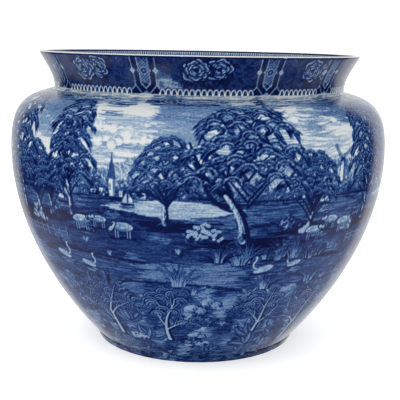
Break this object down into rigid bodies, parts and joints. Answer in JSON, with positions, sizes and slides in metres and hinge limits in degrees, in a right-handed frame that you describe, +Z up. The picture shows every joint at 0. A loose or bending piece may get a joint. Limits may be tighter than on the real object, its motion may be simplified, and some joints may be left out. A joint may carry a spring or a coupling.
{
  "type": "jardiniere",
  "caption": "Large round earthenware jardiniere: full shoulders, short flared collar with a thin lip, open mouth and a low foot ring; glazed, with a blue printed scene.",
  "frame": {"origin": "centre of the circle the foot ring stands on", "axes": "+Z up along the pot's turning axis; -Y is the side that faces the viewer in the reference view"},
  "size_m": [0.36, 0.36, 0.278],
  "materials": {
    "printed_glaze": "cobalt blue scenic print under a clear glossy glaze",
    "border_glaze": "dark blue floral border print under a clear glossy glaze",
    "foot_glaze": "blue print and clear glaze outside, bare buff clay on the rim it stands on",
    "cream_glaze": "clear glossy glaze over white slip"
  },
  "bodies": {
    "root": {"bowl": "printed_glaze", "collar": "border_glaze", "foot_ring": "foot_glaze", "neck_slip": "cream_glaze", "foot_slip": "cream_glaze"}
  },
  "joints": []
}
